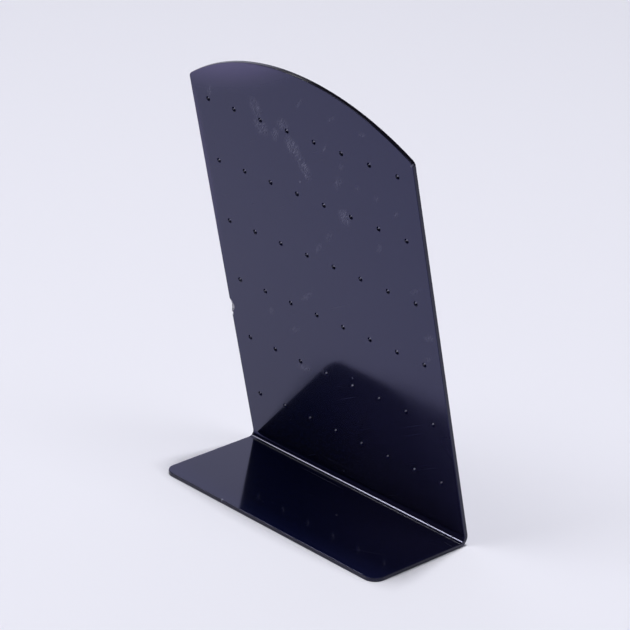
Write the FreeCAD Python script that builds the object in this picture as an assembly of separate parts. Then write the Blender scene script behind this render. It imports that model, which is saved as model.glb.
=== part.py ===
import FreeCAD, Part
import math
import os

# Earring display stand: one sheet of acrylic, cut flat, drilled, and bent
# once along a heated line. The foot lies on the table and the tall panel
# leans forward over it, so earrings hang clear of the panel's face.
# Millimetres and degrees. X runs to the right as seen from the front, Y to
# the back and Z up. The origin is the middle of the footprint, on the table.

# Driving dimensions of the sheet
SHEET_THICKNESS = 2.0
SHEET_WIDTH = 140.0

# The foot's depth is measured overall, from its front edge to the back of the fold
FOOT_DEPTH = 57.25
FOOT_CORNER_RADIUS = 6.0

# How far the panel leans forward from upright, and the inside radius of the fold
PANEL_LEAN = 13.0
FOLD_INNER_RADIUS = 2.5

# Heights on the panel are measured up its face from the end of the fold
PANEL_SIDE_LENGTH = 191.5
CROWN_RISE = 21.0

# The rounding of the two corners where the arched top meets the sides
CROWN_END_RADIUS = 3.0

# The earring holes, drilled square to the panel
HOLE_DIAMETER = 2.2
HOLE_COLUMNS = 8
HOLE_ROWS = 6
HOLE_SIDE_MARGIN = 10.5
LOWEST_ROW_HEIGHT = 24.5
TOP_ROW_DROP = 9.5

# The flakes knocked off the panel's front edge on the left side: the height
# of each one's middle, its length along the edge, and how far it reaches
# across the front face and into the side face
CHIPS = (
    {"height": 70.0, "length": 7.0, "face_reach": 2.6, "side_reach": 0.9},
    {"height": 65.6, "length": 2.2, "face_reach": 1.2, "side_reach": 0.6},
)

# How far each cutting tool runs past the sheet
CUTTER_OVERRUN = 3.0

# Sizes that follow from the driving dimensions
fold_outer_radius = FOLD_INNER_RADIUS + SHEET_THICKNESS
half_width = SHEET_WIDTH / 2
half_depth = FOOT_DEPTH / 2
crown_radius = (half_width ** 2 + CROWN_RISE ** 2) / (2 * CROWN_RISE)
hole_pitch_across = (SHEET_WIDTH - 2 * HOLE_SIDE_MARGIN) / (HOLE_COLUMNS - 1)
hole_pitch_up = (PANEL_SIDE_LENGTH - LOWEST_ROW_HEIGHT - TOP_ROW_DROP) / (HOLE_ROWS - 1)

X_AXIS = FreeCAD.Vector(1, 0, 0)
Z_AXIS = FreeCAD.Vector(0, 0, 1)

lean = math.radians(PANEL_LEAN)
up_the_panel = FreeCAD.Vector(0, -math.sin(lean), math.cos(lean))
out_of_the_back = FreeCAD.Vector(0, math.cos(lean), math.sin(lean))

# The fold turns about this centre, from the foot's top round to the panel's face
fold_centre = FreeCAD.Vector(0, half_depth - fold_outer_radius, fold_outer_radius)
fold_end = fold_centre + out_of_the_back * FOLD_INNER_RADIUS

# The panel's own frame: x across, y up the face from the fold, z out of the front face
panel_frame = FreeCAD.Placement(fold_end, FreeCAD.Rotation(X_AXIS, 90 + PANEL_LEAN))


def fold_point(radius, angle):
    """A point of the fold's section, at an angle from straight back towards up."""
    turn = math.radians(angle)
    return fold_centre + FreeCAD.Vector(0, radius * math.cos(turn), radius * math.sin(turn))


def fold_arc(radius, start_angle, end_angle):
    """One side of the fold's section, as an arc about the fold's centre."""
    middle_angle = (start_angle + end_angle) / 2
    arc = Part.Arc(
        fold_point(radius, start_angle),
        fold_point(radius, middle_angle),
        fold_point(radius, end_angle),
    )
    return arc.toShape()


def folded_sheet():
    """The bent sheet before it is trimmed: its side section, extruded across the width."""
    front_bottom = FreeCAD.Vector(0, -half_depth, 0)
    front_top = FreeCAD.Vector(0, -half_depth, SHEET_THICKNESS)
    blank_length = PANEL_SIDE_LENGTH + CROWN_RISE + CUTTER_OVERRUN
    face_top = fold_end + up_the_panel * blank_length
    back_top = face_top + out_of_the_back * SHEET_THICKNESS
    down = -90

    section = Part.Wire([
        Part.makeLine(front_bottom, front_top),
        Part.makeLine(front_top, fold_point(FOLD_INNER_RADIUS, down)),
        fold_arc(FOLD_INNER_RADIUS, down, PANEL_LEAN),
        Part.makeLine(fold_end, face_top),
        Part.makeLine(face_top, back_top),
        Part.makeLine(back_top, fold_point(fold_outer_radius, PANEL_LEAN)),
        fold_arc(fold_outer_radius, PANEL_LEAN, down),
        Part.makeLine(fold_point(fold_outer_radius, down), front_bottom),
    ])
    sheet = Part.Face(section).extrude(X_AXIS * SHEET_WIDTH)
    sheet.translate(X_AXIS * -half_width)
    return sheet


def stands_at(edge, place):
    """Whether an edge's middle is at a place or at its mirror image on the other side."""
    tolerance = 0.001
    middle = edge.CenterOfMass
    mirrored = FreeCAD.Vector(-place.x, place.y, place.z)
    return min((middle - place).Length, (middle - mirrored).Length) < tolerance


def round_the_foot(sheet):
    """The sheet with the two front corners of its foot rounded."""
    corner = FreeCAD.Vector(half_width, -half_depth, SHEET_THICKNESS / 2)
    corner_edges = [edge for edge in sheet.Edges if stands_at(edge, corner)]
    return sheet.makeFillet(FOOT_CORNER_RADIUS, corner_edges)


def round_the_crown_ends(sheet):
    """The sheet with the two corners at the ends of its arched top rounded."""
    corner = panel_frame.multVec(
        FreeCAD.Vector(half_width, PANEL_SIDE_LENGTH, -SHEET_THICKNESS / 2)
    )
    corner_edges = [edge for edge in sheet.Edges if stands_at(edge, corner)]
    return sheet.makeFillet(CROWN_END_RADIUS, corner_edges)


def crown_waste():
    """What is routed away above the panel's arched top, in the panel's frame."""
    crown_centre = PANEL_SIDE_LENGTH + CROWN_RISE - crown_radius
    back = -SHEET_THICKNESS - CUTTER_OVERRUN
    cut_depth = SHEET_THICKNESS + 2 * CUTTER_OVERRUN
    waste = Part.makeBox(
        SHEET_WIDTH + 2 * CUTTER_OVERRUN,
        crown_radius + 2 * CUTTER_OVERRUN,
        cut_depth,
        FreeCAD.Vector(-half_width - CUTTER_OVERRUN, crown_centre, back),
    )
    kept_disc = Part.makeCylinder(
        crown_radius, cut_depth, FreeCAD.Vector(0, crown_centre, back), Z_AXIS
    )
    return waste.cut(kept_disc)


def earring_drills():
    """One drill for each earring hole, in the panel's frame."""
    drills = []
    for row in range(HOLE_ROWS):
        for column in range(HOLE_COLUMNS):
            across = -half_width + HOLE_SIDE_MARGIN + column * hole_pitch_across
            up = LOWEST_ROW_HEIGHT + row * hole_pitch_up
            drill_tip = FreeCAD.Vector(across, up, -SHEET_THICKNESS - CUTTER_OVERRUN)
            drill_length = SHEET_THICKNESS + 2 * CUTTER_OVERRUN
            drills.append(Part.makeCylinder(HOLE_DIAMETER / 2, drill_length, drill_tip, Z_AXIS))
    return drills


def chip_flake(chip):
    """The flake that left a chip, in the panel's frame: a ball that bites the edge.

    The ball passes through the end of each reach and through both ends of
    the chip on the edge.
    """
    reach_line = math.hypot(chip["face_reach"], chip["side_reach"])
    bite = chip["face_reach"] * chip["side_reach"] / reach_line
    stand_off = (chip["length"] / 2) ** 2 / (2 * bite)
    radius = math.hypot(stand_off, reach_line / 2)
    centre = FreeCAD.Vector(
        -half_width + chip["face_reach"] / 2 - stand_off * chip["side_reach"] / reach_line,
        chip["height"],
        -chip["side_reach"] / 2 + stand_off * chip["face_reach"] / reach_line,
    )
    return Part.makeSphere(radius, centre)


def placed_on_panel(shape):
    """A shape made in the panel's frame, moved to where the panel stands."""
    shape.Placement = panel_frame
    return shape


def earring_stand():
    """The whole stand, one solid."""
    stand = round_the_foot(folded_sheet())
    stand = round_the_crown_ends(stand.cut(placed_on_panel(crown_waste())))
    drills = Part.makeCompound(earring_drills())
    stand = stand.cut(placed_on_panel(drills))
    flakes = Part.makeCompound([chip_flake(chip) for chip in CHIPS])
    stand = stand.cut(placed_on_panel(flakes))
    return stand.Solids[0]


os.makedirs("parts", exist_ok=True)
earring_stand().exportStep("parts/earring_stand.step")
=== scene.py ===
import math

import bpy
from mathutils import Matrix, Vector


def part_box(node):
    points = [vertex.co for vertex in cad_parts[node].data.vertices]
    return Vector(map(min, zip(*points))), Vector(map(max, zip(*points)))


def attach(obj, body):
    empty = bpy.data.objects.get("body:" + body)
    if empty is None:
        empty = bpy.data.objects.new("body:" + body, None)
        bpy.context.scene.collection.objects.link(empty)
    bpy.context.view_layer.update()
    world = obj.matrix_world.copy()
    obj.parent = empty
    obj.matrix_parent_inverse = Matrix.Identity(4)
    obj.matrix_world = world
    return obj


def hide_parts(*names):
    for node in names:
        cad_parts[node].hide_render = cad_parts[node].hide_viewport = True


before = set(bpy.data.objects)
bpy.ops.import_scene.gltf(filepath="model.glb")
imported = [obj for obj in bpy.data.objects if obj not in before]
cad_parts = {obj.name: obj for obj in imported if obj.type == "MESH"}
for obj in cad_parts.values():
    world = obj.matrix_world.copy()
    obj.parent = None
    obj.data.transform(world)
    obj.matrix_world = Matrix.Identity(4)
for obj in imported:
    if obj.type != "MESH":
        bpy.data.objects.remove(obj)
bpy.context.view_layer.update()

# Earring display stand: one sheet of glossy navy-black acrylic, laser cut,
# drilled with a grid of earring holes and bent once along a heated line.
# The sheet is made flat, with its holes and its chipped edge, and Geometry
# Nodes then bend it where the CAD's fold is. Metres, in the CAD's frame.

LOWEST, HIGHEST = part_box("earring_stand")
MM = 0.001

# The sheet's sizes, as the CAD gives them
SHEET_THICKNESS = 2.0 * MM
HALF_WIDTH = 70.0 * MM
FOOT_CORNER_RADIUS = 6.0 * MM
PANEL_LEAN = math.radians(13.0)
FOLD_INNER_RADIUS = 2.5 * MM
PANEL_SIDE_LENGTH = 191.5 * MM
CROWN_RISE = 21.0 * MM
CROWN_END_RADIUS = 3.0 * MM

# The earring holes
HOLE_DIAMETER = 2.2 * MM
HOLE_COLUMNS = 8
HOLE_ROWS = 6
HOLE_PITCH_ACROSS = 17.0 * MM
HOLE_PITCH_UP = 31.5 * MM
LOWEST_ROW_HEIGHT = 24.5 * MM
HOLE_RIM_EASE = 0.12 * MM

# How far the drills run past the sheet, and how round they are
DRILL_OVERRUN = 1.0 * MM
DRILL_SIDES = 40

# The chips on the panel's left front edge: the height of each one's middle, its
# length, and how far it reaches across the front face and into the side face
CHIPS = (
    {"height": 70.0 * MM, "length": 7.0 * MM, "face_reach": 2.6 * MM, "side_reach": 0.9 * MM},
    {"height": 65.6 * MM, "length": 2.2 * MM, "face_reach": 1.2 * MM, "side_reach": 0.6 * MM},
)

# The ripples of a break: their height, their size, the noise that makes them and
# the range that it keeps to
RIPPLE_HEIGHT = 0.22 * MM
RIPPLE_SIZE = 0.8 * MM
RIPPLE_NOISE = {"Scale": 1 / RIPPLE_SIZE, "Detail": 2.0, "Roughness": 0.6}
RIPPLE_NOISE_LOW = 0.25
RIPPLE_NOISE_HIGH = 0.75
FLAKE_SUBDIVISIONS = 5
FIRST_FLAKE_SEED = 3.0

# Solidify puts the thickness behind the drawn face
SOLIDIFY_BEHIND = -1.0

# The steps that round a corner, go through the fold, and cross the arch
CORNER_STEPS = 14
FOLD_STEPS = 28
CROWN_STEPS = 96

# The sheet's edges are eased where they turn by more than the least angle
EDGE_EASE = 0.3 * MM
EDGE_EASE_STEPS = 4
LEAST_EASED_ANGLE = math.radians(50.0)

# A face of the flat sheet counts as its cut edge where it looks out of the sheet
# by less than this, from 0 for straight sideways to 1 for straight out
CUT_EDGE_FACING = 0.6

# Sizes that follow
FOLD_ANGLE = math.radians(90.0) + PANEL_LEAN
FOLD_LENGTH = FOLD_INNER_RADIUS * FOLD_ANGLE
FOLD_OUTER_RADIUS = FOLD_INNER_RADIUS + SHEET_THICKNESS
FOLD_CENTRE = Vector((0.0, HIGHEST.y - FOLD_OUTER_RADIUS, LOWEST.z + FOLD_OUTER_RADIUS))
FOOT_LENGTH = FOLD_CENTRE.y - LOWEST.y
CROWN_RADIUS = (HALF_WIDTH ** 2 + CROWN_RISE ** 2) / (2 * CROWN_RISE)

# Scuffs on the sheet, in its flat millimetres: place is across from the middle
# and up from the end of the fold, turn is degrees from straight up to the right
RUBBED_PATCHES = (
    {"place": (-27.2, 187.8), "turn": 2, "length": 12.0, "width": 8.5, "strength": 0.62},
    {"place": (-25.8, 179.0), "turn": -19, "length": 10.5, "width": 10.4, "strength": 0.7},
    {"place": (-16.9, 177.6), "turn": 29, "length": 9.5, "width": 5.2, "strength": 0.75},
    {"place": (-10.8, 184.5), "turn": 54, "length": 10.0, "width": 6.2, "strength": 0.75},
    {"place": (-6.3, 174.5), "turn": -29, "length": 13.0, "width": 9.8, "strength": 1.0},
    {"place": (-0.7, 166.2), "turn": -20, "length": 12.5, "width": 7.8, "strength": 1.0},
    {"place": (21.4, 149.0), "turn": 47, "length": 9.0, "width": 8.5, "strength": 0.85},
    {"place": (2.8, 199.0), "turn": 40, "length": 9.0, "width": 2.0, "strength": 0.45},
    {"place": (22.4, 197.7), "turn": 49, "length": 8.0, "width": 2.0, "strength": 0.4},
    {"place": (40.6, 196.1), "turn": 72, "length": 6.0, "width": 2.6, "strength": 0.4},
    {"place": (15.1, 181.2), "turn": 37, "length": 6.5, "width": 1.8, "strength": 0.5},
    {"place": (24.1, 175.0), "turn": 28, "length": 6.0, "width": 2.9, "strength": 0.45},
    {"place": (20.5, 165.9), "turn": 34, "length": 11.0, "width": 4.7, "strength": 0.5},
    {"place": (32.5, 167.5), "turn": 34, "length": 4.0, "width": 2.6, "strength": 0.45},
    {"place": (44.1, 166.1), "turn": 51, "length": 3.5, "width": 3.1, "strength": 0.5},
    {"place": (55.5, 162.1), "turn": 40, "length": 4.5, "width": 2.6, "strength": 0.5},
    {"place": (8.7, 134.6), "turn": 34, "length": 9.0, "width": 3.2, "strength": 0.42},
    {"place": (0.4, 126.0), "turn": 37, "length": 9.5, "width": 3.2, "strength": 0.42},
    {"place": (41.0, 140.3), "turn": 35, "length": 7.0, "width": 3.1, "strength": 0.35},
    {"place": (-57.5, 186.7), "turn": 31, "length": 9.0, "width": 2.8, "strength": 0.4},
    {"place": (-13.5, 95.5), "turn": 53, "length": 14.0, "width": 3.0, "strength": 0.42},
    {"place": (-40.4, 77.6), "turn": 40, "length": 5.0, "width": 3.9, "strength": 0.45},
    {"place": (-25.3, 73.4), "turn": 56, "length": 8.0, "width": 3.9, "strength": 0.35},
    {"place": (65.3, 103.6), "turn": 65, "length": 9.0, "width": 3.9, "strength": 0.55},
    {"place": (59.9, 125.3), "turn": 62, "length": 8.0, "width": 2.9, "strength": 0.35},
    {"place": (62.1, 91.5), "turn": 61, "length": 6.0, "width": 2.6, "strength": 0.3},
    {"place": (-23.4, 53.5), "turn": 83, "length": 11.0, "width": 4.7, "strength": 0.6},
    {"place": (-10.6, 56.1), "turn": -80, "length": 5.0, "width": 2.9, "strength": 0.5},
)

# Marks that show whole: two scratches beside the fold, a worn corner, and specks
SINGLE_MARKS = (
    {"place": (-16.0, -7.6), "turn": 90, "length": 34.0, "width": 0.5, "strength": 0.3},
    {"place": (66.5, -8.7), "turn": 94, "length": 7.0, "width": 0.5, "strength": 0.15},
    {"place": (69.4, 190.6), "turn": 40, "length": 2.4, "width": 1.2, "strength": 0.7},
    {"place": (-5.1, 157.7), "turn": 0, "length": 1.1, "width": 1.0, "strength": 1.0},
    {"place": (-29.4, -56.9), "turn": 90, "length": 1.6, "width": 1.2, "strength": 1.0},
    {"place": (9.5, 60.8), "turn": 0, "length": 1.1, "width": 0.9, "strength": 0.5},
    {"place": (-7.4, 2.5), "turn": 0, "length": 1.0, "width": 0.9, "strength": 0.4},
    {"place": (14.7, -27.5), "turn": 0, "length": 1.2, "width": 1.0, "strength": 0.5},
)

# How deep into the sheet a mark reaches, in millimetres: short of its back face
MARK_DEPTH = 1.5

# The shares of a mark's half size where it is full and where it ends
MARK_FULL = 0.35
MARK_END = 1.15

# Painted reflection: a pale lilac painted into the face where it should mirror
# lighter: under the arch, down the left edge, and faintly low on the right
PAINTED_REFLECTION_PATCHES = (
    {"place": (-46.0, 226.0), "turn": 70, "length": 160.0, "width": 64.0, "strength": 1.0},
    {"place": (-73.0, 150.0), "turn": 0, "length": 150.0, "width": 14.0, "strength": 0.25},
    {"place": (60.0, 20.0), "turn": 0, "length": 160.0, "width": 170.0, "strength": 0.06},
)

# Where the polish has gone dull, low down on the right of the panel: the strength
# is added to the roughness
DULLED_PATCHES = (
    {"place": (76.0, 62.0), "turn": 0, "length": 110.0, "width": 90.0, "strength": 0.08},
)

# The short strokes that fill the rubbed patches, in millimetres and degrees: how far
# apart they run and how long they are, and the noise where they start and are full
RUB_STROKES = (
    {"turn": 41.0, "spacing": 0.3, "reach": 4.0, "low": 0.53, "high": 0.67, "seed": 2.0},
    {"turn": 16.0, "spacing": 0.3, "reach": 4.5, "low": 0.57, "high": 0.71, "seed": 1.0},
    {"turn": -14.0, "spacing": 0.3, "reach": 4.5, "low": 0.57, "high": 0.71, "seed": 3.0},
)

# Long, faint scratches from wiping, over the whole sheet
WIPED_LINES = {"turn": 62.0, "spacing": 0.5, "reach": 38.0, "low": 0.7, "high": 0.78, "seed": 5.0}
WIPED_STRENGTH = 0.1
SCRATCH_NOISE = {"Scale": 1.0, "Detail": 1.0}

# Dust: a speck of about a quarter of a millimetre in some of the sheet's cells, which
# are some 4 mm across, and the share of the cells that stays clean
DUST_CELL = 4.0
DUST_RADIUS = 0.14
DUST_FREE_SHARE = 0.72
DUST_STRENGTH = 0.35

# The haze on the polished face: the size of one smear, in millimetres, and its noise
SMEAR_SIZE = 30.0
SMEAR_NOISE = {"Scale": 1 / SMEAR_SIZE, "Detail": 3.0, "Roughness": 0.55}

# The turns that the drill left along a hole's wall, in millimetres, and their noise
DRILL_TURN = 0.15
DRILL_TURN_NOISE = {"Scale": 1 / DRILL_TURN, "Detail": 1.0}

# The range that a noise mostly keeps to
NOISE_LOW = 0.3
NOISE_HIGH = 0.7

# The painted highlight down a hole's wall, a streak of pale mirror: where it stands, from
# straight right towards straight up, how far from its middle it is full and ends, and
# how deep below the face it starts and is full, in millimetres
STREAK_TURN = math.radians(-155.0)
STREAK_FULL = 0.17
STREAK_END = 0.45
STREAK_START_DEPTH = 0.1
STREAK_FULL_DEPTH = 0.8

# The whitened ridges of the break, how many there are to a millimetre, and the noise
# where they start and are white
RIDGES_PER_MM = 1.4
RIDGE_NOISE = {"Scale": RIDGES_PER_MM, "Detail": 3.0, "Roughness": 0.65}
RIDGE_LOW = 0.42
RIDGE_HIGH = 0.62

# Colours in the photograph's light, and the tints of what the acrylic mirrors
FACE_COLOUR = "#0b0f2b"
FACE_TINT = "#9e9eff"
# Pale lilac painted into the face as a lighter reflection
PAINTED_REFLECTION_COLOUR = "#6e648c"
EDGE_COLOUR = "#0b0a12"
EDGE_TINT = "#b0b0dc"
RUBBED_COLOUR = "#767686"
HOLE_COLOUR = "#080a36"
# The painted highlight down each hole's wall
PAINTED_STREAK_COLOUR = "#ececff"
BREAK_COLOUR = "#1b1a30"
RIDGE_COLOUR = "#cacad8"
FLOOR_COLOUR = "#e7e7f1"
WALL_COLOUR = "#e4e4f6"

# Roughness, from 0 for a mirror to 1 for chalk
FACE_ROUGHNESS_LOW = 0.07
FACE_ROUGHNESS_HIGH = 0.11
EDGE_ROUGHNESS = 0.16
RUBBED_ROUGHNESS = 0.45
HOLE_ROUGHNESS_LOW = 0.08
HOLE_ROUGHNESS_HIGH = 0.2
STREAK_ROUGHNESS = 0.4
BREAK_ROUGHNESS = 0.42
FLOOR_ROUGHNESS = 0.9

# How strongly each surface mirrors, where 0.5 is what its index of refraction gives
ACRYLIC_IOR = 1.49
FACE_GLOSS = 0.65
EDGE_GLOSS = 0.76
HOLE_GLOSS = 0.15
FLOOR_GLOSS = 0.2

# The greasy layer that hands leave on the sheet
GREASE_WEIGHT = 0.06
GREASE_ROUGHNESS = 0.35

# How far the floor runs from the stand, in metres
FLOOR_REACH = 4.0

# The room, by the direction that it is seen in: its walls end above, and are
# brighter behind the stand and at its left
WALLS_END_ABOVE = {"From Min": 0.42, "From Max": 0.6, "To Min": 1.0, "To Max": 0.05}
WALLS_BEHIND = {"From Min": -0.3, "From Max": 0.1, "To Min": 0.04, "To Max": 1.0}
WALLS_AT_LEFT = {"From Min": 0.3, "From Max": -0.2, "To Min": 0.25, "To Max": 1.0}

# The softboxes: the direction that each one shines from, its sides in metres and its
# power in watts. The one above doesn't show in the gloss. The two at the left show
# only there, because on the floor they would draw a second shadow
SOFTBOX_DISTANCE = 3.4
SOFTBOXES = (
    {"name": "softbox_above", "direction": (0.0, 0.022, 1.0), "size": (0.28, 0.28),
     "power": 73.0, "colour": "#ffffff", "in_gloss": False, "on_matt": True},
    {"name": "softbox_front", "direction": (-0.257, -0.463, 0.848), "size": (1.4, 1.4),
     "power": 28.0, "colour": "#ffffff", "in_gloss": True, "on_matt": True},
    {"name": "softbox_right", "direction": (0.42, 0.0, 0.907), "size": (1.3, 1.3),
     "power": 14.5, "colour": "#ffffff", "in_gloss": True, "on_matt": True},
    {"name": "strip_left", "direction": (-0.651, -0.212, 0.729), "size": (0.55, 0.42),
     "power": 11.0, "colour": "#ffffcc", "in_gloss": True, "on_matt": False},
    {"name": "lamp_left", "direction": (-0.5956, -0.24, 0.767), "size": (0.25, 0.42),
     "power": 9.6, "colour": "#ffffcc", "in_gloss": True, "on_matt": False},
    {"name": "strip_behind", "direction": (-0.68, 0.2, 0.7), "size": (1.4, 0.57),
     "power": 3.0, "colour": "#ffffff", "in_gloss": True, "on_matt": True},
)

# The camera stands where the photograph was taken from
CAMERA_PLACE = Vector((0.96656, -0.92205, 0.6883))
CAMERA_AIM = Vector((-0.0011, -0.0012, 0.0952))
CAMERA_ROLL = math.radians(1.84)
CAMERA_LENS = 190.13
CAMERA_SENSOR = 36.0
CAMERA_NEAREST = 0.05


def linear(hex_colour):
    """An sRGB colour, such as "#1a1830", as the linear colour that Blender's nodes use."""
    channels = [int(hex_colour[i:i + 2], 16) / 255 for i in (1, 3, 5)]
    curved = [c / 12.92 if c <= 0.04045 else ((c + 0.055) / 1.055) ** 2.4 for c in channels]
    return (*curved, 1.0)


def add(tree, kind, inputs=None, **settings):
    """Adds a node with its settings. Each input is named by its socket's identifier.

    It is given as a value, as a node whose first output it takes, or as a
    node with the name of the output.
    """
    node = tree.nodes.new(kind)
    for name, value in settings.items():
        setattr(node, name, value)
    for name, value in (inputs or {}).items():
        socket = next(s for s in node.inputs if s.identifier == name)
        if isinstance(value, bpy.types.Node):
            tree.links.new(next(s for s in value.outputs if s.enabled), socket)
        elif isinstance(value, tuple) and isinstance(value[0], bpy.types.Node):
            tree.links.new(value[0].outputs[value[1]], socket)
        else:
            socket.default_value = value
    return node


def arc(centre, radius, start, end, steps):
    """Points along an arc, its angles measured from straight right towards straight up."""
    points = []
    for step in range(steps + 1):
        turn = start + (end - start) * step / steps
        points.append((centre[0] + radius * math.cos(turn), centre[1] + radius * math.sin(turn)))
    return points


def mirrored(points):
    """The same points on the sheet's left half, in the order that carries on from the right."""
    return [(-across, along) for across, along in reversed(points)]


def flat_outline():
    """The cut sheet's outline: the foot's end, the side of the fold, and the arched top.

    Points are across and along: along is 0 at the end of the fold, below 0
    on the fold and the foot, and above 0 up the panel. The foot's points run
    from left to right and the top's from right to left.
    """
    foot_end = -FOLD_LENGTH - FOOT_LENGTH
    corner_centre = (HALF_WIDTH - FOOT_CORNER_RADIUS, foot_end + FOOT_CORNER_RADIUS)
    straight_down = math.radians(-90.0)
    foot_corner = arc(corner_centre, FOOT_CORNER_RADIUS, straight_down, 0.0, CORNER_STEPS)
    foot = mirrored(foot_corner) + foot_corner
    fold_side = [FOLD_LENGTH * (step / FOLD_STEPS - 1) for step in range(FOLD_STEPS + 1)]

    # The rounding at the arch's end touches both the side and the arch
    crown_centre = (0.0, PANEL_SIDE_LENGTH + CROWN_RISE - CROWN_RADIUS)
    end_across = HALF_WIDTH - CROWN_END_RADIUS
    end_turn = math.acos(end_across / (CROWN_RADIUS - CROWN_END_RADIUS))
    end_centre = (end_across, crown_centre[1] + math.tan(end_turn) * end_across)
    crown_end = arc(end_centre, CROWN_END_RADIUS, 0.0, end_turn, CORNER_STEPS)
    arch = arc(crown_centre, CROWN_RADIUS, end_turn, math.pi - end_turn, CROWN_STEPS)
    return foot, fold_side, crown_end + arch[1:-1] + mirrored(crown_end)


def flat_sheet():
    """The flat sheet's front face: the foot, the strips of the fold, and the panel."""
    foot, fold_side, crown = flat_outline()
    points = [(across, along, 0.0) for across, along in foot]
    faces = []
    fold_start = len(points)
    for along in fold_side:
        points += [(HALF_WIDTH, along, 0.0), (-HALF_WIDTH, along, 0.0)]
    faces.append([*range(fold_start), fold_start, fold_start + 1])
    for step in range(FOLD_STEPS):
        right = fold_start + 2 * step
        faces.append([right + 1, right, right + 2, right + 3])
    panel_start = fold_start + 2 * FOLD_STEPS
    crown_start = len(points)
    points += [(across, along, 0.0) for across, along in crown]
    faces.append([panel_start + 1, panel_start, *range(crown_start, len(points))])
    mesh = bpy.data.meshes.new("flat_sheet")
    mesh.from_pydata(points, [], faces)
    mesh.update()
    return mesh


def hole_drills(tree, sizes):
    """A grid of drills, each with a small countersink at both faces of the sheet.

    They carry the look that they leave on the wall of a hole.
    """
    radius = add(tree, "ShaderNodeMath", {
        "Value": (sizes, "Hole Diameter"), "Value_001": 0.5}, operation="MULTIPLY")
    overrun = (sizes, "Drill Overrun")
    ease = (sizes, "Rim Ease")
    thickness = (sizes, "Sheet Thickness")
    flare = add(tree, "ShaderNodeMath", {"Value": overrun, "Value_001": ease}, operation="ADD")
    wide = add(tree, "ShaderNodeMath", {"Value": radius, "Value_001": flare}, operation="ADD")
    length = add(tree, "ShaderNodeMath", {
        "Value": overrun, "Value_001": 2.0, "Value_002": thickness}, operation="MULTIPLY_ADD")
    half_down = add(tree, "ShaderNodeMath", {
        "Value": thickness, "Value_001": -0.5}, operation="MULTIPLY")
    shank = add(tree, "GeometryNodeMeshCylinder", {
        "Vertices": DRILL_SIDES, "Radius": radius, "Depth": length})
    shank = add(tree, "GeometryNodeTransform", {
        "Geometry": (shank, "Mesh"),
        "Translation": add(tree, "ShaderNodeCombineXYZ", {"Z": half_down})})
    cone = add(tree, "GeometryNodeMeshCone", {
        "Vertices": DRILL_SIDES, "Radius Top": wide, "Radius Bottom": radius, "Depth": flare})
    face_drop = add(tree, "ShaderNodeMath", {
        "Value": ease, "Value_001": -1.0}, operation="MULTIPLY")
    face_cone = add(tree, "GeometryNodeTransform", {
        "Geometry": (cone, "Mesh"),
        "Translation": add(tree, "ShaderNodeCombineXYZ", {"Z": face_drop})})
    back_lift = add(tree, "ShaderNodeMath", {
        "Value": ease, "Value_001": thickness}, operation="SUBTRACT")
    back_cone = add(tree, "GeometryNodeTransform", {
        "Geometry": (cone, "Mesh"),
        "Translation": add(tree, "ShaderNodeCombineXYZ", {"Z": back_lift}),
        "Rotation": (math.pi, 0.0, 0.0)})

    # The grid's middle stands midway between its lowest and highest rows
    across = add(tree, "ShaderNodeMath", {
        "Value": (sizes, "Hole Columns"), "Value_001": 1.0}, operation="SUBTRACT")
    across = add(tree, "ShaderNodeMath", {
        "Value": across, "Value_001": (sizes, "Pitch Across")}, operation="MULTIPLY")
    up = add(tree, "ShaderNodeMath", {
        "Value": (sizes, "Hole Rows"), "Value_001": 1.0}, operation="SUBTRACT")
    up = add(tree, "ShaderNodeMath", {
        "Value": up, "Value_001": (sizes, "Pitch Up")}, operation="MULTIPLY")
    middle = add(tree, "ShaderNodeMath", {
        "Value": up, "Value_001": 0.5,
        "Value_002": (sizes, "Lowest Row")}, operation="MULTIPLY_ADD")
    grid = add(tree, "GeometryNodeMeshGrid", {
        "Size X": across, "Size Y": up,
        "Vertices X": (sizes, "Hole Columns"), "Vertices Y": (sizes, "Hole Rows")})
    grid = add(tree, "GeometryNodeTransform", {
        "Geometry": (grid, "Mesh"),
        "Translation": add(tree, "ShaderNodeCombineXYZ", {"Y": middle})})
    drills = []
    for tool in (shank, face_cone, back_cone):
        placed = add(tree, "GeometryNodeInstanceOnPoints", {"Points": grid, "Instance": tool})
        placed = add(tree, "GeometryNodeRealizeInstances", {"Geometry": placed})
        drills.append(add(tree, "GeometryNodeSetMaterial", {
            "Geometry": placed, "Material": (sizes, "Drilled Material")}))
    return drills


def chip_flake(tree, sizes, chip, seed):
    """The flake that left one chip: a ball with a rippled skin, in the colour of the break."""
    reach_line = math.hypot(chip["face_reach"], chip["side_reach"])
    bite = chip["face_reach"] * chip["side_reach"] / reach_line
    stand_off = (chip["length"] / 2) ** 2 / (2 * bite)
    radius = math.hypot(stand_off, reach_line / 2)
    centre = (
        -HALF_WIDTH + chip["face_reach"] / 2 - stand_off * chip["side_reach"] / reach_line,
        chip["height"],
        -chip["side_reach"] / 2 + stand_off * chip["face_reach"] / reach_line,
    )
    ball = add(tree, "GeometryNodeMeshIcoSphere", {
        "Radius": radius, "Subdivisions": FLAKE_SUBDIVISIONS})
    ripple = add(tree, "ShaderNodeTexNoise", {"W": seed, **RIPPLE_NOISE}, noise_dimensions="4D")
    lift = add(tree, "ShaderNodeMapRange", {
        "Value": (ripple, "Fac"), "From Min": RIPPLE_NOISE_LOW, "From Max": RIPPLE_NOISE_HIGH,
        "To Min": -RIPPLE_HEIGHT / 2, "To Max": RIPPLE_HEIGHT / 2})
    offset = add(tree, "ShaderNodeVectorMath", {
        "Vector": add(tree, "GeometryNodeInputNormal"), "Scale": lift}, operation="SCALE")
    ball = add(tree, "GeometryNodeSetPosition", {"Geometry": (ball, "Mesh"), "Offset": offset})
    ball = add(tree, "GeometryNodeTransform", {"Geometry": ball, "Translation": centre})
    return add(tree, "GeometryNodeSetMaterial", {
        "Geometry": ball, "Material": (sizes, "Break Material")})


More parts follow.
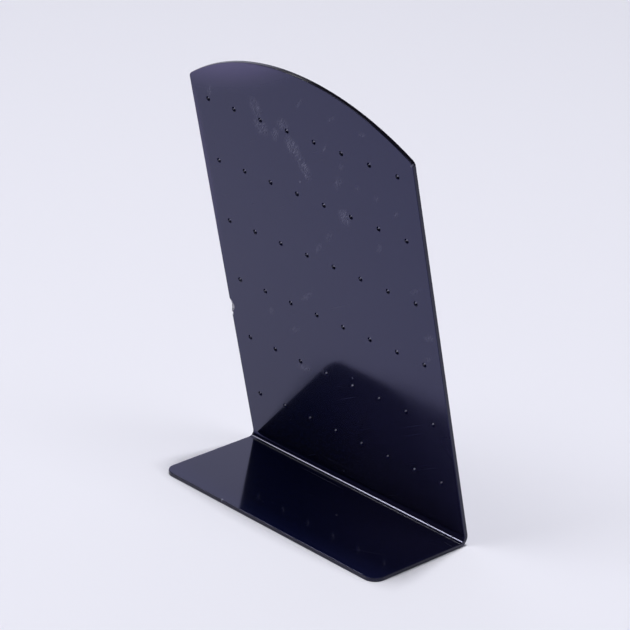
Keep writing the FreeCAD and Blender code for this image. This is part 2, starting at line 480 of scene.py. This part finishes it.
def bent(tree, sizes, sheet):
    """The flat sheet bent along the fold, so that its foot lies flat and its panel leans."""
    flat = add(tree, "ShaderNodeSeparateXYZ", {
        "Vector": add(tree, "GeometryNodeInputPosition")})
    radius = (sizes, "Fold Radius")
    angle = (sizes, "Fold Angle")
    fold_length = add(tree, "ShaderNodeMath", {
        "Value": radius, "Value_001": angle}, operation="MULTIPLY")
    into_fold = add(tree, "ShaderNodeMath", {
        "Value": (flat, "Y"), "Value_001": fold_length}, operation="ADD")
    before = add(tree, "ShaderNodeMath", {
        "Value": into_fold, "Value_001": 0.0}, operation="MINIMUM")
    after = add(tree, "ShaderNodeMath", {
        "Value": (flat, "Y"), "Value_001": 0.0}, operation="MAXIMUM")
    straight = add(tree, "ShaderNodeMath", {"Value": before, "Value_001": after}, operation="ADD")
    turn = add(tree, "ShaderNodeMath", {
        "Value": into_fold, "Value_001": radius}, operation="DIVIDE")
    turn = add(tree, "ShaderNodeClamp", {"Value": turn, "Min": 0.0, "Max": angle})
    sine = add(tree, "ShaderNodeMath", {"Value": turn}, operation="SINE")
    cosine = add(tree, "ShaderNodeMath", {"Value": turn}, operation="COSINE")
    out = add(tree, "ShaderNodeMath", {
        "Value": radius, "Value_001": (flat, "Z")}, operation="SUBTRACT")

    # Back is out times sine plus straight times cosine, and up is straight times sine
    # less out times cosine
    back = add(tree, "ShaderNodeMath", {"Value": out, "Value_001": sine}, operation="MULTIPLY")
    back = add(tree, "ShaderNodeMath", {
        "Value": straight, "Value_001": cosine, "Value_002": back}, operation="MULTIPLY_ADD")
    drop = add(tree, "ShaderNodeMath", {"Value": out, "Value_001": cosine}, operation="MULTIPLY")
    up = add(tree, "ShaderNodeMath", {"Value": straight, "Value_001": sine}, operation="MULTIPLY")
    up = add(tree, "ShaderNodeMath", {"Value": up, "Value_001": drop}, operation="SUBTRACT")
    place = add(tree, "ShaderNodeCombineXYZ", {"X": (flat, "X"), "Y": back, "Z": up})
    place = add(tree, "ShaderNodeVectorMath", {
        "Vector": place, "Vector_001": (sizes, "Fold Centre")}, operation="ADD")
    return add(tree, "GeometryNodeSetPosition", {"Geometry": sheet, "Position": place})


def perforate_and_bend(face_material, edge_material, drilled_material, break_material):
    """The node tree that drills, chips and bends the sheet, and the values of its inputs."""
    tree = bpy.data.node_groups.new("perforated_bent_sheet", "GeometryNodeTree")
    inputs = (
        ("Sheet Thickness", "NodeSocketFloat", SHEET_THICKNESS),
        ("Fold Radius", "NodeSocketFloat", FOLD_INNER_RADIUS),
        ("Fold Angle", "NodeSocketFloat", FOLD_ANGLE),
        ("Fold Centre", "NodeSocketVector", FOLD_CENTRE),
        ("Hole Diameter", "NodeSocketFloat", HOLE_DIAMETER),
        ("Rim Ease", "NodeSocketFloat", HOLE_RIM_EASE),
        ("Drill Overrun", "NodeSocketFloat", DRILL_OVERRUN),
        ("Hole Columns", "NodeSocketInt", HOLE_COLUMNS),
        ("Hole Rows", "NodeSocketInt", HOLE_ROWS),
        ("Pitch Across", "NodeSocketFloat", HOLE_PITCH_ACROSS),
        ("Pitch Up", "NodeSocketFloat", HOLE_PITCH_UP),
        ("Lowest Row", "NodeSocketFloat", LOWEST_ROW_HEIGHT),
        ("Face Material", "NodeSocketMaterial", face_material),
        ("Edge Material", "NodeSocketMaterial", edge_material),
        ("Drilled Material", "NodeSocketMaterial", drilled_material),
        ("Break Material", "NodeSocketMaterial", break_material),
    )
    tree.interface.new_socket("Geometry", in_out="INPUT", socket_type="NodeSocketGeometry")
    tree.interface.new_socket("Geometry", in_out="OUTPUT", socket_type="NodeSocketGeometry")
    values = {}
    for name, kind, value in inputs:
        socket = tree.interface.new_socket(name, in_out="INPUT", socket_type=kind)
        values[socket.identifier] = value
    sizes = add(tree, "NodeGroupInput")

    blank = add(tree, "GeometryNodeSetMaterial", {
        "Geometry": (sizes, "Geometry"), "Material": (sizes, "Face Material")})
    cut = add(tree, "GeometryNodeMeshBoolean", {
        "Mesh 1": blank}, operation="DIFFERENCE", solver="EXACT")
    tools = hole_drills(tree, sizes)
    for number, chip in enumerate(CHIPS):
        tools.append(chip_flake(tree, sizes, chip, seed=FIRST_FLAKE_SEED + number))
    for tool in tools:
        tree.links.new(tool.outputs["Geometry"], cut.inputs["Mesh 2"])

    # The flat place of every point, in millimetres, for the scuffs to lie on
    flat_place = add(tree, "ShaderNodeVectorMath", {
        "Vector": add(tree, "GeometryNodeInputPosition"), "Scale": 1 / MM}, operation="SCALE")
    measured = add(tree, "GeometryNodeStoreNamedAttribute", {
        "Geometry": (cut, "Mesh"), "Name": "sheet_mm", "Value": flat_place},
        data_type="FLOAT_VECTOR")

    # Where the sheet was cut: faces that look sideways while it is flat
    facing = add(tree, "ShaderNodeSeparateXYZ", {"Vector": add(tree, "GeometryNodeInputNormal")})
    sideways = add(tree, "ShaderNodeMath", {
        "Value": add(tree, "ShaderNodeMath", {"Value": (facing, "Z")}, operation="ABSOLUTE"),
        "Value_001": CUT_EDGE_FACING}, operation="LESS_THAN")
    measured = add(tree, "GeometryNodeStoreNamedAttribute", {
        "Geometry": measured, "Name": "cut_edge", "Value": sideways},
        data_type="FLOAT", domain="FACE")
    shaped = add(tree, "GeometryNodeSetShadeSmooth", {"Geometry": bent(tree, sizes, measured)})
    whole = add(tree, "GeometryNodeRealizeInstances", {"Geometry": shaped})

    # The drilled and broken walls keep their look, and the rest is polished face or cut edge
    drilled = add(tree, "GeometryNodeMaterialSelection", {"Material": (sizes, "Drilled Material")})
    broken = add(tree, "GeometryNodeMaterialSelection", {"Material": (sizes, "Break Material")})
    as_cast = add(tree, "FunctionNodeBooleanMath", {
        "Boolean": drilled, "Boolean_001": broken}, operation="NOR")
    cast = add(tree, "GeometryNodeSetMaterial", {
        "Geometry": whole, "Selection": as_cast, "Material": (sizes, "Face Material")})
    cut_edge = add(tree, "GeometryNodeInputNamedAttribute", {"Name": "cut_edge"}, data_type="FLOAT")
    as_cut = add(tree, "FunctionNodeBooleanMath", {
        "Boolean": as_cast, "Boolean_001": cut_edge}, operation="AND")
    finished = add(tree, "GeometryNodeSetMaterial", {
        "Geometry": cast, "Selection": as_cut, "Material": (sizes, "Edge Material")})
    add(tree, "NodeGroupOutput", {"Socket_1": finished})
    return tree, values


def plain_mesh(piece, name):
    """Turns the piece's evaluated mesh into its own, and takes the modifiers off."""
    depsgraph = bpy.context.evaluated_depsgraph_get()
    mesh = bpy.data.meshes.new_from_object(
        piece.evaluated_get(depsgraph), preserve_all_data_layers=True, depsgraph=depsgraph)
    mesh.name = name
    piece.modifiers.clear()
    piece.data = mesh
    return mesh


def earring_stand_sheet():
    """The whole stand: cut flat, drilled, chipped and bent, with its edges eased."""
    group = rubbed_patch_group()
    polished = black_cast_acrylic(group)
    edge_as_cut = cut_acrylic_edge(group)
    drilled = drilled_acrylic()
    broken = broken_acrylic()
    piece = bpy.data.objects.new("acrylic_sheet", flat_sheet())
    bpy.context.scene.collection.objects.link(piece)
    thickness = piece.modifiers.new("thickness", "SOLIDIFY")
    thickness.thickness = SHEET_THICKNESS
    thickness.offset = SOLIDIFY_BEHIND
    easing = piece.modifiers.new("eased_edges", "BEVEL")
    easing.width = EDGE_EASE
    easing.segments = EDGE_EASE_STEPS
    easing.limit_method = "ANGLE"
    easing.angle_limit = LEAST_EASED_ANGLE
    bend = piece.modifiers.new("perforate_and_bend", "NODES")
    tree, values = perforate_and_bend(polished, edge_as_cut, drilled, broken)
    bend.node_group = tree
    for identifier, value in values.items():
        bend[identifier] = value
    mesh = plain_mesh(piece, "acrylic_sheet")

    # The break and the holes keep a crisp border where they meet the polished faces
    sharp = mesh.attributes.new("sharp_edge", "BOOLEAN", "EDGE")
    sides = {}
    for face in mesh.polygons:
        for edge in face.edge_keys:
            tooled = mesh.materials[face.material_index] in (drilled, broken)
            sides.setdefault(edge, set()).add(tooled)
    sharp.data.foreach_set("value", [len(sides.get(edge.key, ())) > 1 for edge in mesh.edges])
    weighted = piece.modifiers.new("flat_faces_stay_flat", "WEIGHTED_NORMAL")
    weighted.keep_sharp = True
    plain_mesh(piece, "acrylic_sheet")
    return piece


def rubbed_patch_group():
    """How strongly a spot lies inside one long, soft-edged patch of the sheet."""
    group = bpy.data.node_groups.new("rubbed_patch", "ShaderNodeTree")
    for name, kind in (
        ("Place", "NodeSocketVector"),
        ("Turn", "NodeSocketFloat"),
        ("Half Width", "NodeSocketFloat"),
        ("Half Length", "NodeSocketFloat"),
        ("Strength", "NodeSocketFloat"),
        ("Sheet", "NodeSocketVector"),
    ):
        group.interface.new_socket(name, in_out="INPUT", socket_type=kind)
    group.interface.new_socket("Rubbed", in_out="OUTPUT", socket_type="NodeSocketFloat")
    given = add(group, "NodeGroupInput")
    away = add(group, "ShaderNodeVectorMath", {
        "Vector": (given, "Sheet"), "Vector_001": (given, "Place")}, operation="SUBTRACT")
    turned = add(group, "ShaderNodeVectorRotate", {
        "Vector": away, "Angle": (given, "Turn")}, rotation_type="Z_AXIS")
    size = add(group, "ShaderNodeCombineXYZ", {
        "X": (given, "Half Width"), "Y": (given, "Half Length"), "Z": MARK_DEPTH})
    share = add(group, "ShaderNodeVectorMath", {
        "Vector": turned, "Vector_001": size}, operation="DIVIDE")
    distance = add(group, "ShaderNodeVectorMath", {"Vector": share}, operation="LENGTH")
    inside = add(group, "ShaderNodeMapRange", {
        "Value": (distance, "Value"), "From Min": MARK_END, "From Max": MARK_FULL},
        interpolation_type="SMOOTHSTEP")
    rubbed = add(group, "ShaderNodeMath", {
        "Value": inside, "Value_001": (given, "Strength")}, operation="MULTIPLY")
    add(group, "NodeGroupOutput", {"Socket_6": rubbed})
    return group


def strongest(tree, spots):
    """The highest of several values."""
    highest = spots[0]
    for spot in spots[1:]:
        highest = add(tree, "ShaderNodeMath", {
            "Value": highest, "Value_001": spot}, operation="MAXIMUM")
    return highest


def marked(tree, sheet, group, marks):
    """How strongly a spot lies inside any of the marks."""
    spots = []
    for mark in marks:
        spot = add(tree, "ShaderNodeGroup", node_tree=group)
        values = {
            "Place": (*mark["place"], 0.0),
            "Turn": math.radians(mark["turn"]),
            "Half Width": mark["width"] / 2,
            "Half Length": mark["length"] / 2,
            "Strength": mark["strength"],
        }
        for name, value in values.items():
            spot.inputs[name].default_value = value
        tree.links.new(sheet[0].outputs[sheet[1]], spot.inputs["Sheet"])
        spots.append(spot)
    return strongest(tree, spots)


def hairlines(tree, sheet, turn, spacing, reach, low, high, seed):
    """Fine scratches at an angle: a noise squeezed across them and drawn out along them."""
    turned = add(tree, "ShaderNodeVectorRotate", {
        "Vector": sheet, "Angle": math.radians(turn)}, rotation_type="Z_AXIS")
    drawn = add(tree, "ShaderNodeVectorMath", {
        "Vector": turned, "Vector_001": (1 / spacing, 1 / reach, 0.0)}, operation="MULTIPLY")
    noise = add(tree, "ShaderNodeTexNoise", {
        "Vector": drawn, "W": seed, **SCRATCH_NOISE}, noise_dimensions="4D")
    return add(tree, "ShaderNodeMapRange", {
        "Value": (noise, "Fac"), "From Min": low, "From Max": high})


def dusty(tree, sheet):
    """How strongly a spot shows dust: a round speck in the middle of some cells."""
    cells = add(tree, "ShaderNodeTexVoronoi", {"Vector": sheet, "Scale": 1 / DUST_CELL})
    speck = add(tree, "ShaderNodeMath", {
        "Value": (cells, "Distance"), "Value_001": DUST_RADIUS / DUST_CELL},
        operation="LESS_THAN")
    chance = add(tree, "ShaderNodeSeparateXYZ", {"Vector": (cells, "Color")})
    chosen = add(tree, "ShaderNodeMapRange", {
        "Value": (chance, "X"), "From Min": DUST_FREE_SHARE, "To Max": DUST_STRENGTH})
    return add(tree, "ShaderNodeMath", {
        "Value": speck, "Value_001": chosen}, operation="MULTIPLY")


def worn(tree, sheet, group):
    """How strongly a spot is rubbed, scratched or dusty."""
    rubbed = marked(tree, sheet, group, RUBBED_PATCHES)
    strokes = strongest(tree, [hairlines(tree, sheet, **stroke) for stroke in RUB_STROKES])
    scuffs = add(tree, "ShaderNodeMath", {
        "Value": rubbed, "Value_001": strokes}, operation="MULTIPLY")
    wiped = add(tree, "ShaderNodeMath", {
        "Value": hairlines(tree, sheet, **WIPED_LINES),
        "Value_001": WIPED_STRENGTH}, operation="MULTIPLY")
    single = marked(tree, sheet, group, SINGLE_MARKS)
    return strongest(tree, [scuffs, single, wiped, dusty(tree, sheet)])


def sheet_material(name):
    """A new material, its empty node tree, and the flat place on the sheet in millimetres."""
    material = bpy.data.materials.new(name)
    material.use_nodes = True
    tree = material.node_tree
    tree.nodes.clear()
    place = add(tree, "ShaderNodeAttribute", attribute_name="sheet_mm")
    return material, tree, (place, "Vector")


def worn_surface(tree, damage, clean, haze, gloss, tint):
    """Acrylic of one colour, haze and gloss, pale and dull where it is worn."""
    colour = add(tree, "ShaderNodeMix", {
        "Factor_Float": damage, "A_Color": clean, "B_Color": linear(RUBBED_COLOUR)},
        data_type="RGBA")
    roughness = add(tree, "ShaderNodeMix", {
        "Factor_Float": damage, "A_Float": haze, "B_Float": RUBBED_ROUGHNESS},
        data_type="FLOAT")
    surface = add(tree, "ShaderNodeBsdfPrincipled", {
        "Base Color": colour,
        "Roughness": roughness,
        "IOR": ACRYLIC_IOR,
        "Specular IOR Level": gloss,
        "Specular Tint": linear(tint),
        "Coat Weight": GREASE_WEIGHT,
        "Coat Roughness": GREASE_ROUGHNESS})
    add(tree, "ShaderNodeOutputMaterial", {"Surface": surface})


def black_cast_acrylic(group):
    """Navy-black cast acrylic sheet with a polished face.

    The face mirrors its surroundings softly, through a faint and uneven
    haze. Handling has left fine scratches, some dust, and pale rubbed
    patches between the earring holes. A pale lilac painted into the face
    under the arch, down its left edge and low on the right is a painted
    lighter reflection.
    """
    material, tree, sheet = sheet_material("black_cast_acrylic")
    # The face's own colour, with a pale lilac painted reflection in places
    clean = add(tree, "ShaderNodeMix", {
        "Factor_Float": marked(tree, sheet, group, PAINTED_REFLECTION_PATCHES),
        "A_Color": linear(FACE_COLOUR),
        "B_Color": linear(PAINTED_REFLECTION_COLOUR)}, data_type="RGBA")
    smears = add(tree, "ShaderNodeTexNoise", {"Vector": sheet, **SMEAR_NOISE})
    haze = add(tree, "ShaderNodeMapRange", {
        "Value": (smears, "Fac"), "From Min": NOISE_LOW, "From Max": NOISE_HIGH,
        "To Min": FACE_ROUGHNESS_LOW, "To Max": FACE_ROUGHNESS_HIGH})
    haze = add(tree, "ShaderNodeMath", {
        "Value": haze,
        "Value_001": marked(tree, sheet, group, DULLED_PATCHES)}, operation="ADD")
    damage = worn(tree, sheet, group)
    worn_surface(tree, damage, clean, haze, gloss=FACE_GLOSS, tint=FACE_TINT)
    return material


def cut_acrylic_edge(group):
    """The sheet's laser-cut edges: black, with a melted polish duller than that of the faces."""
    material, tree, sheet = sheet_material("cut_acrylic_edge")
    damage = worn(tree, sheet, group)
    clean = linear(EDGE_COLOUR)
    worn_surface(tree, damage, clean, EDGE_ROUGHNESS, gloss=EDGE_GLOSS, tint=EDGE_TINT)
    return material


def from_the_hole(tree, place):
    """The spot's place across and up the sheet, from the middle of its own hole."""
    half_across = HOLE_PITCH_ACROSS / 2 / MM
    half_up = HOLE_PITCH_UP / 2 / MM
    across = add(tree, "ShaderNodeMath", {
        "Value": (place, "X"), "Value_001": half_across}, operation="ADD")
    across = add(tree, "ShaderNodeMath", {
        "Value": across, "Value_001": half_across, "Value_002": -half_across},
        operation="WRAP")
    up = add(tree, "ShaderNodeMath", {
        "Value": (place, "Y"), "Value_001": LOWEST_ROW_HEIGHT / MM}, operation="SUBTRACT")
    up = add(tree, "ShaderNodeMath", {
        "Value": up, "Value_001": half_up, "Value_002": -half_up}, operation="WRAP")
    return add(tree, "ShaderNodeCombineXYZ", {"X": across, "Y": up})


def drilled_acrylic():
    """The wall of a drilled hole: glossy black, with the drill's turns along it.

    Along one line of each wall a painted highlight runs down the bore: a
    bright streak of pale mirror, strongest towards the back.
    """
    material, tree, sheet = sheet_material("drilled_acrylic")
    place = add(tree, "ShaderNodeSeparateXYZ", {"Vector": sheet})
    depth = add(tree, "ShaderNodeCombineXYZ", {"Z": (place, "Z")})
    turns = add(tree, "ShaderNodeTexNoise", {"Vector": depth, **DRILL_TURN_NOISE})
    roughness = add(tree, "ShaderNodeMapRange", {
        "Value": (turns, "Fac"), "From Min": NOISE_LOW, "From Max": NOISE_HIGH,
        "To Min": HOLE_ROUGHNESS_LOW, "To Max": HOLE_ROUGHNESS_HIGH})

    # The streak stands on the hole's wall, so its middle is a radius from the hole's own
    radius = HOLE_DIAMETER / 2 / MM
    streak_middle = (math.cos(STREAK_TURN) * radius, math.sin(STREAK_TURN) * radius, 0.0)
    away = add(tree, "ShaderNodeVectorMath", {
        "Vector": from_the_hole(tree, place), "Vector_001": streak_middle},
        operation="DISTANCE")
    near = add(tree, "ShaderNodeMapRange", {
        "Value": (away, "Value"), "From Min": STREAK_END, "From Max": STREAK_FULL})
    deep = add(tree, "ShaderNodeMapRange", {
        "Value": (place, "Z"), "From Min": -STREAK_START_DEPTH, "From Max": -STREAK_FULL_DEPTH})
    painted_streak = add(tree, "ShaderNodeMath", {
        "Value": near, "Value_001": deep}, operation="MULTIPLY")
    # The painted highlight: the streak is pale and metallic, a mirror painted onto the black wall
    colour = add(tree, "ShaderNodeMix", {
        "Factor_Float": painted_streak,
        "A_Color": linear(HOLE_COLOUR),
        "B_Color": linear(PAINTED_STREAK_COLOUR)}, data_type="RGBA")
    roughness = add(tree, "ShaderNodeMix", {
        "Factor_Float": painted_streak, "A_Float": roughness, "B_Float": STREAK_ROUGHNESS},
        data_type="FLOAT")
    surface = add(tree, "ShaderNodeBsdfPrincipled", {
        "Base Color": colour,
        "Metallic": painted_streak,
        "Roughness": roughness,
        "IOR": ACRYLIC_IOR,
        "Specular IOR Level": HOLE_GLOSS})
    add(tree, "ShaderNodeOutputMaterial", {"Surface": surface})
    return material


def broken_acrylic():
    """The raw break: acrylic whitened along the ridges of its shell-like fracture."""
    material, tree, sheet = sheet_material("broken_acrylic")
    ridges = add(tree, "ShaderNodeTexNoise", {"Vector": sheet, **RIDGE_NOISE})
    white = add(tree, "ShaderNodeMapRange", {
        "Value": (ridges, "Fac"), "From Min": RIDGE_LOW, "From Max": RIDGE_HIGH})
    colour = add(tree, "ShaderNodeMix", {
        "Factor_Float": white,
        "A_Color": linear(BREAK_COLOUR),
        "B_Color": linear(RIDGE_COLOUR)}, data_type="RGBA")
    surface = add(tree, "ShaderNodeBsdfPrincipled", {
        "Base Color": colour, "Roughness": BREAK_ROUGHNESS, "IOR": ACRYLIC_IOR})
    add(tree, "ShaderNodeOutputMaterial", {"Surface": surface})
    return material


def pale_floor():
    """A plain pale tabletop of matt white paper that runs out of view on every side."""
    corners = [(-1, -1), (1, -1), (1, 1), (-1, 1)]
    mesh = bpy.data.meshes.new("pale_floor")
    mesh.from_pydata(
        [(across * FLOOR_REACH, along * FLOOR_REACH, 0.0) for across, along in corners],
        [], [(0, 1, 2, 3)])
    material = bpy.data.materials.new("matt_white_paper")
    material.use_nodes = True
    surface = material.node_tree.nodes["Principled BSDF"]
    surface.inputs["Base Color"].default_value = linear(FLOOR_COLOUR)
    surface.inputs["Roughness"].default_value = FLOOR_ROUGHNESS
    surface.inputs["Specular IOR Level"].default_value = FLOOR_GLOSS
    mesh.materials.append(material)
    floor = bpy.data.objects.new("pale_floor", mesh)
    floor.location.z = LOWEST.z
    bpy.context.scene.collection.objects.link(floor)
    return floor


def pale_walls():
    """The room: pale walls low down behind the stand and at its left, darker elsewhere."""
    world = bpy.data.worlds.new("studio")
    world.use_nodes = True
    tree = world.node_tree
    tree.nodes.clear()
    place = add(tree, "ShaderNodeTexCoord")
    towards = add(tree, "ShaderNodeSeparateXYZ", {"Vector": (place, "Generated")})
    low = add(tree, "ShaderNodeMapRange", {
        "Value": (towards, "Z"), **WALLS_END_ABOVE}, interpolation_type="SMOOTHSTEP")
    behind = add(tree, "ShaderNodeMapRange", {
        "Value": (towards, "Y"), **WALLS_BEHIND}, interpolation_type="SMOOTHSTEP")
    left = add(tree, "ShaderNodeMapRange", {
        "Value": (towards, "X"), **WALLS_AT_LEFT}, interpolation_type="SMOOTHSTEP")
    bright = add(tree, "ShaderNodeMath", {
        "Value": low, "Value_001": behind}, operation="MULTIPLY")
    bright = add(tree, "ShaderNodeMath", {
        "Value": bright, "Value_001": left}, operation="MULTIPLY")
    sky = add(tree, "ShaderNodeBackground", {
        "Color": linear(WALL_COLOUR), "Strength": bright})
    add(tree, "ShaderNodeOutputWorld", {"Surface": sky})
    bpy.context.scene.world = world


def soft_light(name, direction, size, power, colour, in_gloss, on_matt):
    """A rectangular softbox that looks at the stand from one direction.

    It may be kept out of what glossy surfaces mirror, or from lighting
    matt ones.
    """
    lamp = bpy.data.lights.new(name, "AREA")
    lamp.shape = "RECTANGLE"
    lamp.size, lamp.size_y = size
    lamp.energy = power
    lamp.color = linear(colour)[:3]
    box = bpy.data.objects.new(name, lamp)
    place = Vector(direction).normalized()
    box.location = place * SOFTBOX_DISTANCE
    box.rotation_mode = "QUATERNION"
    box.rotation_quaternion = place.to_track_quat("Z", "Y")
    box.visible_glossy = in_gloss
    box.visible_diffuse = on_matt
    bpy.context.scene.collection.objects.link(box)


def studio_light():
    """The room and the softboxes round the stand."""
    pale_walls()
    for softbox in SOFTBOXES:
        soft_light(**softbox)


def camera():
    """The camera at the photograph's place, with its long lens."""
    lens = bpy.data.cameras.new("camera")
    lens.lens = CAMERA_LENS
    lens.sensor_width = CAMERA_SENSOR
    lens.clip_start = CAMERA_NEAREST
    eye = bpy.data.objects.new("camera", lens)
    eye.rotation_mode = "QUATERNION"
    eye.location = CAMERA_PLACE
    towards = (CAMERA_AIM - CAMERA_PLACE).to_track_quat("-Z", "Y")
    eye.rotation_quaternion = towards @ Matrix.Rotation(CAMERA_ROLL, 3, "Z").to_quaternion()
    bpy.context.scene.collection.objects.link(eye)
    bpy.context.scene.camera = eye


camera()
floor = pale_floor()
studio_light()
bpy.context.scene.view_settings.view_transform = "Standard"

sheet = earring_stand_sheet()
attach(sheet, "root")
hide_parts("earring_stand")
